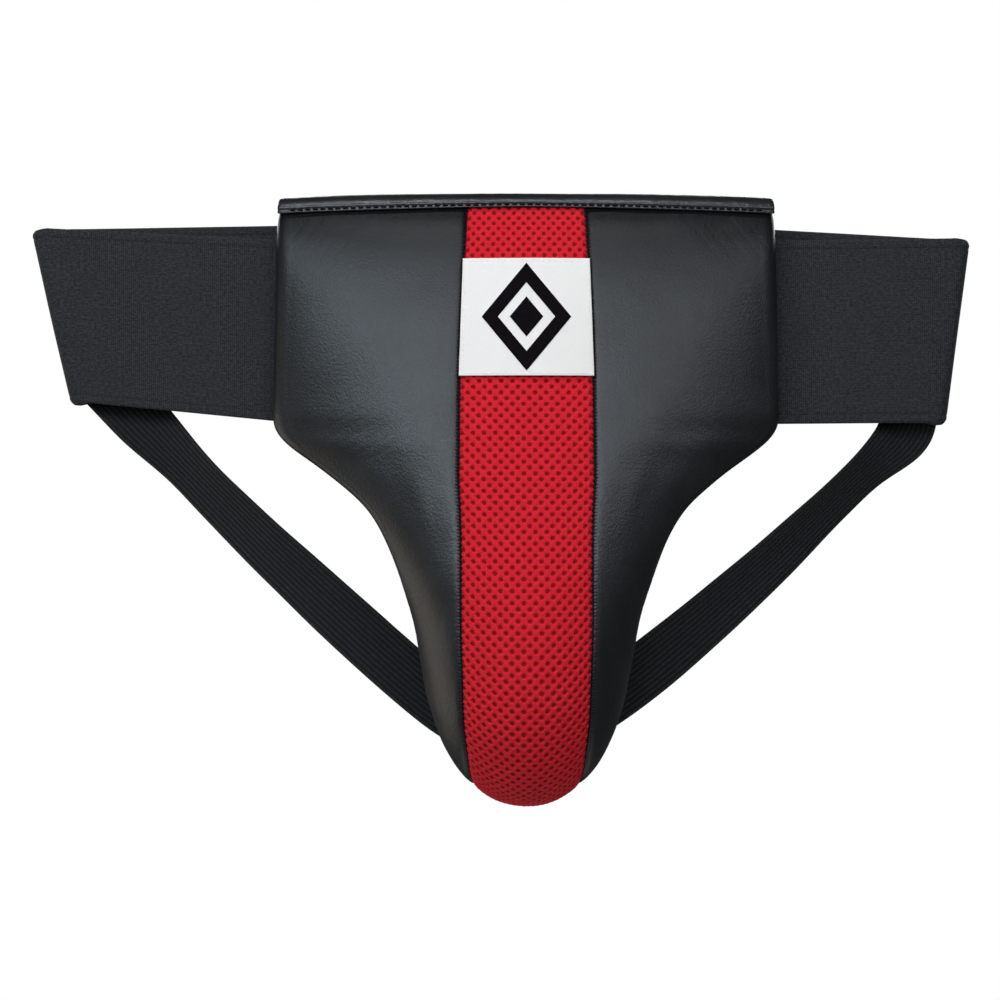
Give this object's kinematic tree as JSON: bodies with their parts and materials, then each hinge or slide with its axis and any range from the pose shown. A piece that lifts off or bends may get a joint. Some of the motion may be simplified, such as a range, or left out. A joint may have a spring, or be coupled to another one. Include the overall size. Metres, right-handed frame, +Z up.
{
  "type": "groin protector",
  "caption": "Padded lower-abdomen and groin guard with a hard cup, a wide elastic waistband and two elastic leg straps.",
  "frame": {"origin": "on the guard's centre plane, level with the middle of the waistband, 22 mm in front of the band's front half", "axes": "+X to the wearer's left, +Y toward the wearer's back, +Z up; the guard faces -Y"},
  "size_m": [0.5217, 0.1222, 0.3369],
  "materials": {
    "panel_leather": "satin",
    "binding_leather": "satin",
    "air_mesh": "matte",
    "foam": "matte",
    "cup_plastic": "satin",
    "rim_foam": "matte",
    "lining": "matte",
    "label": "satin",
    "waist_elastic": "matte",
    "leg_elastic": "matte",
    "hook_and_loop": "matte",
    "thread": "satin",
    "light_thread": "satin"
  },
  "bodies": {
    "root": {"left_leather_panel": "panel_leather", "right_leather_panel": "panel_leather", "centre_mesh_panel": "air_mesh", "left_panel_seam": "thread", "right_panel_seam": "thread", "left_foam_wing": "foam", "right_foam_wing": "foam", "centre_foam_pad": "foam", "cup_shell": "cup_plastic", "cup_rim_cushion": "rim_foam", "back_lining": "lining", "top_binding": "binding_leather", "binding_stitching": "thread", "label_patch": "label", "label_stitching": "light_thread", "waist_front_left": "waist_elastic", "waist_front_right": "waist_elastic", "waist_fold_left": "waist_elastic", "waist_fold_right": "waist_elastic", "leg_strap_left": "leg_elastic", "leg_strap_right": "leg_elastic", "tail_anchor_patch": "binding_leather"},
    "rear_left": {"waist_rear_left": "waist_elastic", "loop_patch": "hook_and_loop", "leg_strap_left_end": "leg_elastic"},
    "rear_right": {"waist_rear_right": "waist_elastic", "leg_strap_right_end": "leg_elastic"},
    "closure_tab": {"closure_tab": "waist_elastic", "hook_patch": "hook_and_loop"}
  },
  "joints": [
    {"name": "right_band_swing", "type": "hinge", "parent": "root", "child": "rear_right", "pos_m": [0.241, 0.028, 0.0487], "axis": [-0.134, 0, -0.991], "range_deg": [0, 110], "deforming": ["waist_fold_right"]},
    {"name": "left_band_swing", "type": "hinge", "parent": "root", "child": "rear_left", "pos_m": [-0.269, 0.028, 0.0543], "axis": [0.225, 0, -0.9744], "range_deg": [-66, 0], "deforming": ["waist_fold_left"]},
    {"name": "closure_peel", "type": "hinge", "parent": "rear_right", "child": "closure_tab", "pos_m": [0.0403, 0.056, 0], "axis": [0, 0, -1], "range_deg": [0, 120]}
  ],
  "couplings": [
    {"joint": "left_band_swing", "follows": "right_band_swing", "ratio": -0.6}
  ]
}
